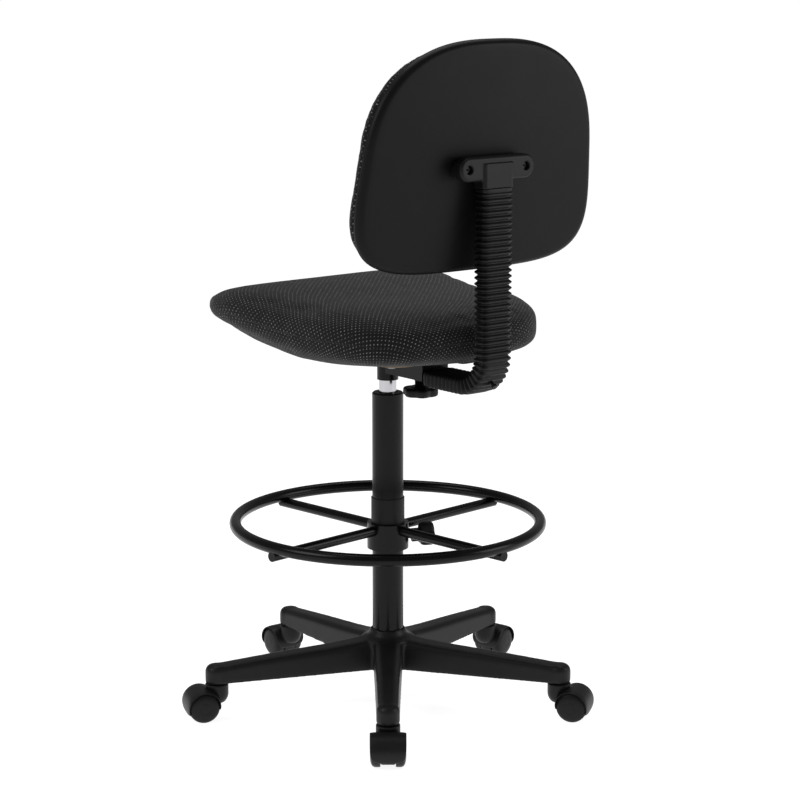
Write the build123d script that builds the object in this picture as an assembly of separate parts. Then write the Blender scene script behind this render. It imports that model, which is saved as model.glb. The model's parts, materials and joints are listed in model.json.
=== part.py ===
from build123d import *
import os
from math import cos, pi, radians, sin

# Drafting chair. Millimetres. The origin is on the column axis at floor level,
# +Z is up, the sitter looks towards -Y and the backrest stands at +Y.

# ---- Driving dimensions -------------------------------------------------------
ARM_COUNT = 5
FIRST_ARM_ANGLE = 50.7            # degrees from +X to the first base arm
ARM_STEP = 360 / ARM_COUNT

STEM_CIRCLE_R = 286.0             # column axis to caster stem
CASTER_TRAIL = 25.0               # stem axis to wheel axle
WHEEL_R = 25.0
WHEEL_INNER = 11.5                # wheel faces, measured from the caster's middle plane
WHEEL_OUTER = 27.5
AXLE_R = 4.0
STEM_R = 5.5
HOOD_R = 27.4                     # outer radius of the fender round the axle
HOOD_BORE_R = 25.6                # fender's inner radius, clear of the wheel
HOOD_TOP = 57.5
HOOD_NECK_R = 18.5
WEB_HALF = 10.8                   # half thickness of the hood's middle web

ARM_BOTTOM = 59.6
ARM_WALL = 4.0
ARM_END_TOP = 89.0
ARM_END_R = 18.0
HUB_R = 30.0
HUB_TOP = 125.0
HUB_BOTTOM = 56.0
SOCKET_R = 7.5                    # outside of the sleeve that takes a caster stem
SOCKET_TOP = 84.0

COLUMN_R = 25.0
COLUMN_WALL = 2.0
COLUMN_TOP = 508.0
COLUMN_FOOT_R = 24.0              # the column tapers into the hub
COLUMN_FOOT = 62.0
COLUMN_FLOOR = 4.0
BUSH_BOTTOM = 430.0
BUSH_TOP = 511.5

CYLINDER_R = 14.0
CYLINDER_BORE_R = 12.0
CYLINDER_BOTTOM = 150.0
CYLINDER_TOP = 560.0
TAPER_START = 532.0
TAPER_TOP_R = 13.3
ROD_R = 5.0
ROD_TOP = 412.0
LIFT_TRAVEL = 115.0
PIN_PRESSED = 2.2                  # the pin is drawn pressed in by this much, where the lever meets it
PIN_R = 4.0                       # release pin on top of the gas cylinder
PIN_TOP = 566.0
RUN = 0.08                        # radial clearance of the running fits

RING_R = 244.3                    # centreline radius of the foot ring
RING_TUBE_R = 9.5
RING_Z = 300.6
SPOKE_R = 8.0
SPOKE_Z = 288.5
SPOKE_END_R = 249.0
RING_HUB_R = 33.25
RING_HUB_BOTTOM = 257.0
RING_HUB_TOP = 299.0
SLEEVE_R = 26.75
SLEEVE_TOP = 340.0
SPOKE_ANGLE = 5.7                 # degrees from +X to the first spoke
RING_KNOB_ANGLE = 155.7           # direction of the ring's clamping knob
RING_KNOB_Z = 274.0

PLATE_TOP = 580.0                 # seat mechanism bolts to the seat at this height
BOX_BOTTOM = 561.0
BOX_HALF = 26.0
STEEL = 3.0
PLATE_HALF_X = 95.0
PLATE_FRONT = -85.0
PLATE_REAR = 125.0
SOCKET_COLLAR_R = 17.0

BAR_HALF = 20.0                   # half width of the flat back bar
BAR_THICK = 6.0
BAR_Z = 553.0                     # middle of the bar's level stretch
BAR_Y = 248.0                     # middle of the bar's upright stretch
BAR_BEND_R = 50.0
BAR_FRONT = 28.0
BAR_TOP = 892.0
DEPTH_KNOB_Y = 81.0
DEPTH_KNOB_LOW = 516.5
DEPTH_TRAVEL_IN = 8.0
DEPTH_TRAVEL_OUT = 40.0
CHANNEL_FRONT = 22.0
CHANNEL_REAR = 112.0

BELLOWS_HALF_X = 30.0
BELLOWS_DEPTH = 28.0
BELLOWS_FRONT = 122.0
BELLOWS_TOP = 855.7
BELLOWS_WALL = 4.0

BRACKET_REAR = 258.0
BRACKET_THICK = 16.0
BRACKET_SCREW_Z = 885.6
BRACKET_SCREW_X = 55.8
BRACKET_HEAD_HALF_Z = 18.0
BRACKET_HEAD_END_R = 17.0

BACK_Z = 900.5                    # middle height of the backrest
BACK_HALF_H = 173.0
BACK_HALF_W = 222.5
BACK_TAPER = 0.085                # narrower at the top and wider at the bottom by this share
BACK_TOP_POWER = 2.65             # superellipse exponents of the outline's two halves
BACK_LOW_POWER = 4.3
BACK_REAR = 234.0                 # rear face of the shell on the middle line
BACK_CURVE_R = 3200.0
BACK_RECLINE = 6.6                # degrees
SHELL_WALL = 3.0
SHELL_RIM = 13.0
BACK_BOARD = 10.0
BACK_PAD = 36.0

SEAT_FRONT = -238.0
SEAT_REAR = 217.0
SEAT_HALF_W = 216.0
SEAT_TAPER = 0.115                # wider at the front and narrower at the rear by this share
SEAT_FRONT_POWER = 4.4
SEAT_REAR_POWER = 3.2
SEAT_BOARD = 12.0
BOARD_FRONT = -104.0
BOARD_REAR = 146.0
BOARD_HALF_W = 112.0
LINING = 1.0
GAP = 0.3                         # air between soft parts and their neighbours

parts = {}


# ---- Shape helpers ------------------------------------------------------------
def disc(radius, low, high, x=0.0, y=0.0):
    """Upright cylinder between two heights."""
    return Pos(x, y, (low + high) / 2) * Cylinder(radius, high - low)


def tube(outer, inner, low, high, x=0.0, y=0.0):
    """Upright pipe between two heights."""
    return disc(outer, low, high, x, y) - disc(inner, low - 1, high + 1, x, y)


def block(x0, x1, y0, y1, z0, z1):
    """Box given by its lowest and highest corners."""
    return Pos((x0 + x1) / 2, (y0 + y1) / 2, (z0 + z1) / 2) * Box(x1 - x0, y1 - y0, z1 - z0)


def turned(*profile):
    """Solid of revolution about Z from (radius, height) corners."""
    return revolve(Plane.XZ * make_face(Polyline(*profile, close=True)), axis=Axis.Z)


def rod_along(start, direction, length, radius):
    """Cylinder from a start point along a direction."""
    plane = Plane(origin=start, z_dir=direction)
    return extrude(plane * Circle(radius), length)


def superellipse(half_x, half_y, low_power, high_power, taper, count=48):
    """Closed face whose corners round off by a power law; taper narrows the +Y end."""
    points = []
    for i in range(count):
        c, s = cos(2 * pi * i / count), sin(2 * pi * i / count)
        power = 2 / (high_power if s > 0 else low_power)
        x = half_x * (abs(c) ** power) * (1 if c > 0 else -1)
        y = half_y * (abs(s) ** power) * (1 if s > 0 else -1)
        points.append((x * (1 - taper * y / half_y), y))
    return make_face(Spline(points, periodic=True))


def lobed_knob(lobes, core_r, lobe_r, lobe_centre_r, height, edge):
    """Knob head standing on Z=0 with round lobes and softened rims."""
    outline = Circle(core_r)
    for i in range(lobes):
        outline += Rot(0, 0, 360 * i / lobes) * Pos(lobe_centre_r, 0) * Circle(lobe_r)
    head = extrude(outline, height)
    return chamfer(head.faces().sort_by(Axis.Z)[-1].edges(), edge)


# ---- Base ---------------------------------------------------------------------
def arm_section(radius, half_width, top, lean, corner):
    """Cross-section of an arm with a flat bottom and rounded upper corners."""
    face = make_face(Polyline((-half_width, ARM_BOTTOM), (half_width, ARM_BOTTOM),
                              (half_width - lean, top), (lean - half_width, top), close=True))
    face = fillet(face.vertices().sort_by(Axis.Y)[2:], corner)
    return (Plane(origin=(radius, 0, 0), x_dir=(0, 1, 0), z_dir=(1, 0, 0)) * face).face()


ARM_STATIONS = [(12, 24.0, 115.0), (70, 22.5, 104.5), (160, 20.4, 97.5), (231, 18.8, 92.3),
                (STEM_CIRCLE_R, 17.8, ARM_END_TOP - 1.0)]


def base_arm():
    """One hollow arm along +X: a tapered channel, a solid end boss and cross ribs."""
    outer = loft([arm_section(r, w, top, 2.0, 9.0) for r, w, top in ARM_STATIONS])
    hollow = loft([arm_section(r, w - ARM_WALL, top - ARM_WALL, 2.0, 5.5)
                   for r, w, top in ARM_STATIONS])
    hollow &= block(HUB_R + 2, STEM_CIRCLE_R - ARM_END_R - 3, -60, 60, 0, 200)
    ribs = [block(r - 1.5, r + 1.5, -60, 60, ARM_BOTTOM + 3, 200) & outer
            for r in (80, 125, 170, 215)]
    end = disc(ARM_END_R, ARM_BOTTOM, ARM_END_TOP, STEM_CIRCLE_R)
    end = fillet(end.edges().sort_by(Axis.Z)[-1], 11)
    arm = outer - hollow
    for rib in ribs:
        arm += rib
    return arm + end


def build_base():
    """Five-arm star, with the stem sleeves pressed into the arm ends."""
    arm = base_arm()
    star = turned((0, HUB_BOTTOM), (HUB_R - 2, HUB_BOTTOM), (HUB_R, HUB_BOTTOM + 2), (HUB_R, 112),
                  (HUB_R - 2.5, HUB_TOP - 2), (HUB_R - 4, HUB_TOP), (0, HUB_TOP))
    sleeves = []
    for i in range(ARM_COUNT):
        turn = Rot(0, 0, FIRST_ARM_ANGLE + i * ARM_STEP)
        star += turn * arm
        sleeves.append(turn * tube(SOCKET_R, STEM_R + RUN, ARM_BOTTOM, SOCKET_TOP, STEM_CIRCLE_R))
    for i in range(ARM_COUNT):
        turn = Rot(0, 0, FIRST_ARM_ANGLE + i * ARM_STEP)
        star -= turn * disc(SOCKET_R, ARM_BOTTOM - 1, SOCKET_TOP, STEM_CIRCLE_R)
    slack = 0.03
    star -= turned((0, COLUMN_FOOT), (COLUMN_FOOT_R + slack, COLUMN_FOOT),
                   (COLUMN_R + slack, HUB_TOP), (COLUMN_R + slack, HUB_TOP + 1), (0, HUB_TOP + 1))
    star -= disc(12, HUB_BOTTOM - 1, COLUMN_FOOT + 1)
    parts["base_star"] = star
    parts["caster_sockets"] = Compound(children=[s.solid() for s in sleeves])


def build_column():
    """Painted outer column, its guide bush, and the bearing at its foot."""
    inner = COLUMN_R - COLUMN_WALL
    parts["outer_column"] = turned(
        (ROD_R + RUN, COLUMN_FOOT), (COLUMN_FOOT_R, COLUMN_FOOT), (COLUMN_R, HUB_TOP),
        (COLUMN_R, COLUMN_TOP), (inner, COLUMN_TOP), (inner, HUB_TOP),
        (COLUMN_FOOT_R - COLUMN_WALL, COLUMN_FOOT + COLUMN_FLOOR),
        (ROD_R + RUN, COLUMN_FOOT + COLUMN_FLOOR))
    bush_r = inner - 0.03
    parts["column_bush"] = turned(
        (CYLINDER_R + RUN, BUSH_BOTTOM), (bush_r, BUSH_BOTTOM), (bush_r, COLUMN_TOP),
        (COLUMN_R, COLUMN_TOP), (COLUMN_R, BUSH_TOP - 2), (COLUMN_R - 2, BUSH_TOP),
        (CYLINDER_R + 2, BUSH_TOP), (CYLINDER_R + RUN, BUSH_TOP - 2))
    floor = COLUMN_FOOT + COLUMN_FLOOR
    parts["thrust_bearing"] = tube(13, ROD_R + RUN, floor, floor + 5)


# ---- Gas lift -----------------------------------------------------------------
def build_gas_lift():
    """Piston rod that turns on the thrust bearing, and the cylinder that slides on it."""
    floor = COLUMN_FOOT + COLUMN_FLOOR
    rod = disc(ROD_R, COLUMN_FOOT - 7, ROD_TOP) + disc(9, floor + 5.1, floor + 10)
    rod += disc(CYLINDER_BORE_R - RUN, ROD_TOP - 16, ROD_TOP)
    groove = tube(ROD_R + 1, ROD_R - 1, COLUMN_FOOT - 4, COLUMN_FOOT - 2.5)
    parts["piston_rod"] = rod - groove
    clip = tube(8.5, ROD_R - 1, COLUMN_FOOT - 4, COLUMN_FOOT - 2.5)
    washer = tube(9.5, ROD_R, COLUMN_FOOT - 2.5, COLUMN_FOOT - 0.1)
    parts["rod_clip"] = Compound(children=[clip.solid(), washer.solid()])
    top_wall = CYLINDER_TOP - 14
    parts["gas_cylinder"] = turned(
        (ROD_R + RUN, CYLINDER_BOTTOM), (CYLINDER_R - 1, CYLINDER_BOTTOM),
        (CYLINDER_R, CYLINDER_BOTTOM + 1), (CYLINDER_R, TAPER_START), (TAPER_TOP_R, CYLINDER_TOP),
        (PIN_R + RUN, CYLINDER_TOP), (PIN_R + RUN, top_wall), (CYLINDER_BORE_R, top_wall),
        (CYLINDER_BORE_R, CYLINDER_BOTTOM + 25), (ROD_R + RUN, CYLINDER_BOTTOM + 25))
    parts["release_pin"] = disc(PIN_R, top_wall - 6, PIN_TOP - PIN_PRESSED)


# ---- Seat mechanism -----------------------------------------------------------
LEVER_Z = PIN_TOP + 4.3           # middle of the lever's inner end, above the pin
LEVER_R = 4.0
LEVER_PIVOT_X = -22.0
LEVER_OUT_X = -205.0
LEVER_OUT_Z = 545.0


def lever_rod():
    """Bent rod from above the release pin out to the sitter's right."""
    path = FilletPolyline((3, 0, LEVER_Z), (-52, 0, LEVER_Z), (-84, 0, LEVER_OUT_Z),
                          (LEVER_OUT_X, 0, LEVER_OUT_Z), radius=12)
    start = Plane(origin=(3, 0, LEVER_Z), z_dir=(-1, 0, 0))
    return sweep(start * Circle(LEVER_R), path=path)


def build_mechanism():
    """Pressed seat plate with its box, the column socket and the bar's channel."""
    plate = block(-PLATE_HALF_X, PLATE_HALF_X, PLATE_FRONT, PLATE_REAR, PLATE_TOP - STEEL, PLATE_TOP)
    plate = fillet(plate.edges().filter_by(Axis.Z), 16)
    box = block(-BOX_HALF, BOX_HALF, -32, 116, BOX_BOTTOM, PLATE_TOP - STEEL)
    box -= block(STEEL - BOX_HALF, BOX_HALF - STEEL, STEEL - 32, 116 - STEEL,
                 BOX_BOTTOM + STEEL, PLATE_TOP)
    plate += box
    plate -= disc(SOCKET_COLLAR_R, BOX_BOTTOM - 1, BOX_BOTTOM + STEEL + 1)
    plate -= block(-BOX_HALF - 1, STEEL - BOX_HALF + 1, -6, 6, LEVER_Z - 7.5, LEVER_Z + 5.5)
    for x, y in SEAT_BOLTS:
        plate -= disc(4.2, PLATE_TOP - STEEL - 1, PLATE_TOP + 1, x, y)
    parts["seat_plate"] = plate

    slack = 0.02
    collar = turned((CYLINDER_R + slack, TAPER_START), (SOCKET_COLLAR_R, TAPER_START),
                    (SOCKET_COLLAR_R, PLATE_TOP - STEEL), (11, PLATE_TOP - STEEL),
                    (11, CYLINDER_TOP + 0.5), (TAPER_TOP_R + slack, CYLINDER_TOP + 0.5),
                    (TAPER_TOP_R + slack, CYLINDER_TOP))
    collar -= block(-SOCKET_COLLAR_R - 1, 0, -6, 6, LEVER_Z - 7, PLATE_TOP)
    parts["plate_socket"] = collar

    half = BAR_HALF + STEEL + 0.3
    channel = block(-half, half, CHANNEL_FRONT, CHANNEL_REAR, BAR_Z - 6.2, BOX_BOTTOM)
    channel -= block(-BAR_HALF - 0.2, BAR_HALF + 0.2, 0, 200, BAR_Z - 3.1, BAR_Z + 3.1)
    channel += disc(10, BAR_Z - 11, BAR_Z - 6.2, 0, DEPTH_KNOB_Y)
    channel -= disc(PIN_R + RUN, BAR_Z - 30, BOX_BOTTOM - 0.5, 0, DEPTH_KNOB_Y)
    parts["bar_channel"] = channel

    parts["lift_lever"] = lever_rod()
    grip = block(LEVER_OUT_X - 3, LEVER_OUT_X + 57, -11, 11, LEVER_OUT_Z - 5.5, LEVER_OUT_Z + 5.5)
    grip = fillet(grip.edges().filter_by(Axis.Z), 8)
    grip -= rod_along((LEVER_OUT_X - 0.02, 0, LEVER_OUT_Z), (1, 0, 0), 80, LEVER_R)
    parts["lever_grip"] = grip


SEAT_BOLTS = [(x, y) for x in (-75, 75) for y in (-62, 102)]


def build_depth_knob():
    """Knob under the seat that clamps the back bar in its channel."""
    head = lobed_knob(6, 21, 8, 20.5, 15, 2.5)
    head += disc(9, 15, 23)
    knob = Pos(0, DEPTH_KNOB_Y, DEPTH_KNOB_LOW) * head
    parts["depth_knob"] = knob - disc(PIN_R, DEPTH_KNOB_LOW + 6, BAR_Z, 0, DEPTH_KNOB_Y)
    parts["depth_screw"] = disc(PIN_R, DEPTH_KNOB_LOW + 6, BOX_BOTTOM - 1, 0, DEPTH_KNOB_Y)


# ---- Seat ---------------------------------------------------------------------
def seat_outline(inset):
    """Plan outline of the seat, front towards -Y."""
    half_y = (SEAT_REAR - SEAT_FRONT) / 2
    face = superellipse(SEAT_HALF_W - inset, half_y - inset, SEAT_FRONT_POWER, SEAT_REAR_POWER,
                        SEAT_TAPER)
    return Pos(0, (SEAT_REAR + SEAT_FRONT) / 2) * face


def seat_side_profile():
    """Side view of the cushion: thick and low at the rear, thin and raised at the front."""
    low = PLATE_TOP + 0.2
    top = Spline((SEAT_FRONT, 645), (-215, 672), (-130, 682), (0, 674), (120, 673), (200, 652),
                 (SEAT_REAR, 622), tangents=((0, 1), (0, -1)))
    rear = Spline((SEAT_REAR, 622), (200, 595), (150, low), tangents=((0, -1), (-1, 0)))
    front = Spline((-112, low), (-190, 612), (SEAT_FRONT, 645), tangents=((-1, 0), (0, 1)))
    return [top, rear, Line((150, low), (-112, low)), front]


def board_block(inset, bottom, height):
    """Rounded rectangle for the board, its pocket and its lining."""
    middle = (BOARD_FRONT + BOARD_REAR) / 2
    face = RectangleRounded(2 * (BOARD_HALF_W - inset), BOARD_REAR - BOARD_FRONT - 2 * inset, 40 - inset)
    return Pos(0, middle, bottom) * extrude(face, height)


def build_seat():
    """Upholstered cushion over a plywood board with a thin lining below."""
    plan = extrude(seat_outline(0), 300)
    plan = Pos(0, 0, 500) * plan
    side = extrude(Plane.YZ * make_face(seat_side_profile()), 260, both=True)
    cushion = plan & side
    board_low = PLATE_TOP + LINING
    board = board_block(0, board_low, SEAT_BOARD)
    pocket = board_block(-0.3, PLATE_TOP - 1, SEAT_BOARD + LINING + 1 + GAP)
    lining = board_block(2, PLATE_TOP, LINING)
    bolts = []
    for x, y in SEAT_BOLTS:
        board -= disc(4.0, board_low - 1, board_low + SEAT_BOARD + 1, x, y)
        lining -= disc(4.2, PLATE_TOP - 1, board_low + 1, x, y)
        bolt = disc(4.0, PLATE_TOP - STEEL, board_low + SEAT_BOARD - 1, x, y)
        bolt += disc(7.0, PLATE_TOP - STEEL - 4, PLATE_TOP - STEEL, x, y)
        bolts.append(bolt.solid())
    parts["seat_cushion"] = cushion - pocket
    parts["seat_board"] = board
    parts["seat_lining"] = lining
    parts["seat_bolts"] = Compound(children=bolts)


# ---- Back bar and bellows -----------------------------------------------------
def bar_path(front, top):
    """Level run, bend and upright run of the back bar's middle line."""
    return FilletPolyline((0, front, BAR_Z), (0, BAR_Y, BAR_Z), (0, BAR_Y, top), radius=BAR_BEND_R)


def swept(front, top, half_x, depth, corner):
    """Rounded rectangle carried along the bar's middle line."""
    section = Plane(origin=(0, front, BAR_Z), x_dir=(1, 0, 0), z_dir=(0, 1, 0))
    return sweep(section * RectangleRounded(2 * half_x, depth, corner), path=bar_path(front, top))


def build_back_bar():
    """Flat steel bar bent to a J, its ribbed bellows and the bellows' peg."""
    bar = swept(BAR_FRONT, BAR_TOP, BAR_HALF, BAR_THICK, 1.5)
    slot_front = DEPTH_KNOB_Y - DEPTH_TRAVEL_OUT
    slot_rear = DEPTH_KNOB_Y + DEPTH_TRAVEL_IN
    bar -= block(-PIN_R - 1, PIN_R + 1, slot_front, slot_rear, BAR_Z - 9, BAR_Z + 9)
    for y in (slot_front, slot_rear):
        bar -= disc(PIN_R + 1, BAR_Z - 9, BAR_Z + 9, 0, y)
    parts["back_bar"] = bar
    outer = swept(BELLOWS_FRONT, BELLOWS_TOP, BELLOWS_HALF_X, BELLOWS_DEPTH, 9)
    hollow = swept(BELLOWS_FRONT - 1, BELLOWS_TOP + 1, BELLOWS_HALF_X - BELLOWS_WALL,
                   BELLOWS_DEPTH - 2 * BELLOWS_WALL, 5)
    bellows = outer - hollow
    bend = (0, BAR_Y - BAR_BEND_R, BAR_Z + BAR_BEND_R)
    away = (0, cos(radians(-40)), sin(radians(-40)))
    reach = BAR_BEND_R + BAR_THICK / 2
    foot = tuple(c + reach * a for c, a in zip(bend, away))
    peg = rod_along(foot, away, 16.5, 2.5)
    bellows -= rod_along(foot, away, 30, 2.5)
    head = tuple(c + (reach + 16.5) * a for c, a in zip(bend, away))
    peg += rod_along(head, away, 4.0, 4.5)
    parts["bellows"] = bellows
    parts["bellows_peg"] = peg


# ---- Backrest -----------------------------------------------------------------
def recline(shape):
    """Lean a backrest part rearwards about the shell's middle."""
    hub = (0, BACK_REAR, BACK_Z)
    return Pos(*hub) * Rot(BACK_RECLINE * -1, 0, 0) * Pos(*(-c for c in hub)) * shape


def back_prism(inset):
    """Backrest outline carried through the thickness direction."""
    face = superellipse(BACK_HALF_W - inset, BACK_HALF_H - inset, BACK_LOW_POWER, BACK_TOP_POWER,
                        BACK_TAPER)
    return Pos(0, 400, BACK_Z) * (Rot(90, 0, 0) * extrude(face, 400))


def curved_slab(rear, thickness):
    """Upright slab, gently hollow towards the sitter; rear is its rear face's middle."""
    axis_y = BACK_REAR - BACK_CURVE_R
    outer = rear - axis_y
    slab = tube(outer, outer - thickness, BACK_Z - 250, BACK_Z + 250, 0, axis_y)
    return slab & block(-300, 300, 0, 400, BACK_Z - 260, BACK_Z + 260)


def build_backrest():
    """Plastic shell with a rolled rim, a board inside it and the padded front."""
    shell = back_prism(0) & curved_slab(BACK_REAR, SHELL_WALL)
    rim = back_prism(0) & curved_slab(BACK_REAR, SHELL_RIM)
    shell += rim - back_prism(SHELL_WALL)
    board_rear = BACK_REAR - SHELL_WALL
    board = back_prism(SHELL_WALL + 12) & curved_slab(board_rear, BACK_BOARD)
    pad_rear = board_rear - BACK_BOARD - GAP
    pad = back_prism(2) & curved_slab(pad_rear, BACK_PAD)
    shell, board, pad = recline(shell), recline(board), recline(pad)
    screws = []
    for x in (-BRACKET_SCREW_X, BRACKET_SCREW_X):
        hole = rod_along((x, 150, BRACKET_SCREW_Z), (0, 1, 0), 150, 3.1)
        shell -= hole
        board -= rod_along((x, 150, BRACKET_SCREW_Z), (0, 1, 0), 150, 3.0)
        tip = BACK_REAR - 14.5
        screw = rod_along((x, tip, BRACKET_SCREW_Z), (0, 1, 0), 248 - tip, 3.0)
        screw += rod_along((x, 248, BRACKET_SCREW_Z), (0, 1, 0), 4, 5.5)
        screw -= rod_along((x, 250, BRACKET_SCREW_Z), (0, 1, 0), 4, 2.0)
        screws.append(screw.solid())
    parts["back_shell"] = shell
    parts["back_board"] = board
    parts["back_cushion"] = pad
    parts["bracket_screws"] = Compound(children=screws)


def build_bracket():
    """T-shaped bracket: a head with two standoffs, and a sleeve that slides on the bar."""
    front = BRACKET_REAR - BRACKET_THICK
    ends = 2 * (BRACKET_SCREW_X + BRACKET_HEAD_END_R)
    head = RectangleRounded(ends, 2 * BRACKET_HEAD_HALF_Z, BRACKET_HEAD_END_R)
    head = Pos(0, BRACKET_REAR, BRACKET_SCREW_Z) * (Rot(90, 0, 0) * extrude(head, BRACKET_THICK))
    head = chamfer(head.faces().sort_by(Axis.Y)[-1].edges(), 3)
    neck_low = BELLOWS_TOP + 0.3
    deep = BAR_Y - BELLOWS_DEPTH / 2
    neck = block(-BELLOWS_HALF_X, BELLOWS_HALF_X, deep, BRACKET_REAR + 3, neck_low, 893)
    neck = fillet(neck.edges().filter_by(Axis.Z), 6)
    bracket = head + neck
    inner_x, inner_y = BAR_HALF + 2.5, BAR_THICK / 2 + 2.5
    bracket += block(-inner_x, inner_x, BAR_Y - inner_y, BAR_Y + inner_y, BAR_TOP - 100, 880)
    bracket -= block(-BAR_HALF - 0.2, BAR_HALF + 0.2, BAR_Y - BAR_THICK / 2 - 0.1,
                     BAR_Y + BAR_THICK / 2 + 0.1, BAR_TOP - 110, BAR_TOP + 1)
    hull = recline(back_prism(-40) & curved_slab(BACK_REAR, 60))
    for x in (-BRACKET_SCREW_X, BRACKET_SCREW_X):
        start = (x, BACK_REAR - 12, BRACKET_SCREW_Z)
        bracket += rod_along(start, (0, 1, 0), front - BACK_REAR + 13, 14) - hull
        bracket -= rod_along((x, 180, BRACKET_SCREW_Z), (0, 1, 0), 68, 3.1)
        bracket -= rod_along((x, 248, BRACKET_SCREW_Z), (0, 1, 0), 30, 6.5)
    parts["back_bracket"] = bracket


# ---- Foot ring ----------------------------------------------------------------
def build_foot_ring():
    """Steel hoop on four spokes and a hub that clamps round a sleeve on the column."""
    hoop = Pos(0, 0, RING_Z) * Torus(RING_R, RING_TUBE_R)
    parts["ring_hoop"] = hoop
    hub = tube(RING_HUB_R, SLEEVE_R + 0.05, RING_HUB_BOTTOM, RING_HUB_TOP)
    knob_way = (cos(radians(RING_KNOB_ANGLE)), sin(radians(RING_KNOB_ANGLE)), 0)
    spokes, caps = [], []
    for i in range(4):
        angle = radians(SPOKE_ANGLE + 90 * i)
        way = (cos(angle), sin(angle), 0)
        start = tuple(RING_HUB_R * 0.93 * w for w in way[:2]) + (SPOKE_Z,)
        pipe = rod_along(start, way, SPOKE_END_R - RING_HUB_R * 0.93, SPOKE_R)
        pipe -= rod_along(start, way, 300, SPOKE_R - 1.5)
        pipe -= disc(RING_HUB_R, RING_HUB_BOTTOM, RING_HUB_TOP)
        spokes.append((pipe - hoop).solid())
        tip = tuple(SPOKE_END_R * w for w in way[:2]) + (SPOKE_Z,)
        cap = rod_along(tip, way, 3, SPOKE_R) + rod_along(
            tuple((SPOKE_END_R - 12) * w for w in way[:2]) + (SPOKE_Z,), way, 13, SPOKE_R - 1.5)
        caps.append((cap - hoop).solid())
    screw_start = tuple((SLEEVE_R + 0.1) * w for w in knob_way[:2]) + (RING_KNOB_Z,)
    hub -= rod_along(screw_start, knob_way, 30, PIN_R + RUN)
    parts["ring_hub"] = hub
    parts["ring_spokes"] = Compound(children=spokes)
    parts["spoke_caps"] = Compound(children=caps)
    parts["ring_sleeve"] = tube(SLEEVE_R, COLUMN_R + RUN, RING_HUB_BOTTOM, SLEEVE_TOP)
    knob = lobed_knob(3, 13, 9, 12, 24, 3)
    knob += disc(11, -12, 0)
    knob -= disc(PIN_R, -20, 15)
    seat = Plane(origin=tuple(52 * w for w in knob_way[:2]) + (RING_KNOB_Z,), z_dir=knob_way)
    parts["ring_knob"] = seat.location * knob
    parts["ring_screw"] = rod_along(screw_start, knob_way, 40, PIN_R)


# ---- Casters ------------------------------------------------------------------
def caster_hood():
    """Fender over both wheels, middle web and round neck; stem at the origin, trail on +X."""
    z = WHEEL_R
    middle = Pos(CASTER_TRAIL, 0, z) * Rot(90, 0, 0)
    fender = middle * Cylinder(HOOD_R, 2 * WHEEL_OUTER)
    fender -= block(-60, 90, -60, 60, -60, 17)
    web = middle * Cylinder(HOOD_R - 8, 2 * WEB_HALF)
    web = (web + fender) & block(-60, 90, -WEB_HALF, WEB_HALF, 9, 90)
    neck = disc(HOOD_NECK_R, 30, HOOD_TOP)
    hood = fender + neck
    for side in (-1, 1):
        space = middle * Pos(0, 0, -side * (WEB_HALF + 15)) * Cylinder(HOOD_BORE_R, 30)
        hood -= space
    hood += web
    hood &= block(-60, 90, -60, 60, 0, HOOD_TOP)
    hood -= middle * Cylinder(AXLE_R, 80)
    return hood - disc(STEM_R, 36, HOOD_TOP + 1)


def caster_wheel(side):
    """Wheel with a domed outer face and a blind axle bore, on one side of the web."""
    face = make_face(Polyline(
        (0, 0), (WHEEL_R - 1.5, 0), (WHEEL_R, 1.5), (WHEEL_R, 10), (WHEEL_R - 3, 13.6),
        (WHEEL_R - 9, 15.4), (0, WHEEL_OUTER - WHEEL_INNER), close=True))
    wheel = revolve(Plane.XZ * face, axis=Axis.Z)
    wheel -= disc(AXLE_R + RUN, -1, 12.5)
    turn = Rot(90, 0, 0) if side < 0 else Rot(-90, 0, 0)
    return Pos(CASTER_TRAIL, side * WHEEL_INNER, WHEEL_R) * turn * wheel


def build_casters():
    """Five twin-wheel casters, all trailing outwards."""
    hood = caster_hood()
    wheels = {"left": caster_wheel(1), "right": caster_wheel(-1)}
    stem = disc(STEM_R, 36, SOCKET_TOP - 1.5)
    axle = Pos(CASTER_TRAIL, 0, WHEEL_R) * Rot(90, 0, 0) * Cylinder(AXLE_R, 47.6)
    for i in range(ARM_COUNT):
        place = Rot(0, 0, FIRST_ARM_ANGLE + i * ARM_STEP) * Pos(STEM_CIRCLE_R, 0, 0)
        name = f"caster_{i + 1}"
        parts[f"{name}_hood"] = place * hood
        parts[f"{name}_pins"] = Compound(children=[(place * stem).solid(), (place * axle).solid()])
        for side, wheel in wheels.items():
            parts[f"{name}_wheel_{side}"] = place * wheel


def main():
    """Build every sub-part and write one STEP file for each."""
    build_base()
    build_column()
    build_gas_lift()
    build_mechanism()
    build_depth_knob()
    build_seat()
    build_back_bar()
    build_backrest()
    build_bracket()
    build_foot_ring()
    build_casters()
    os.makedirs("parts", exist_ok=True)
    for name, shape in parts.items():
        export_step(shape, f"parts/{name}.step")


main()
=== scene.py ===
"""Visual model of a drafting chair, built round its packed mechanical model.

Units are metres in the frame's own axes: origin on the column axis at floor level, +Z up,
the sitter looks towards -Y. Every new piece keeps its place in its mesh.
"""

import json
import logging
from dataclasses import dataclass, field
from enum import Enum
from math import cos, radians, sin, tau

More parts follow.
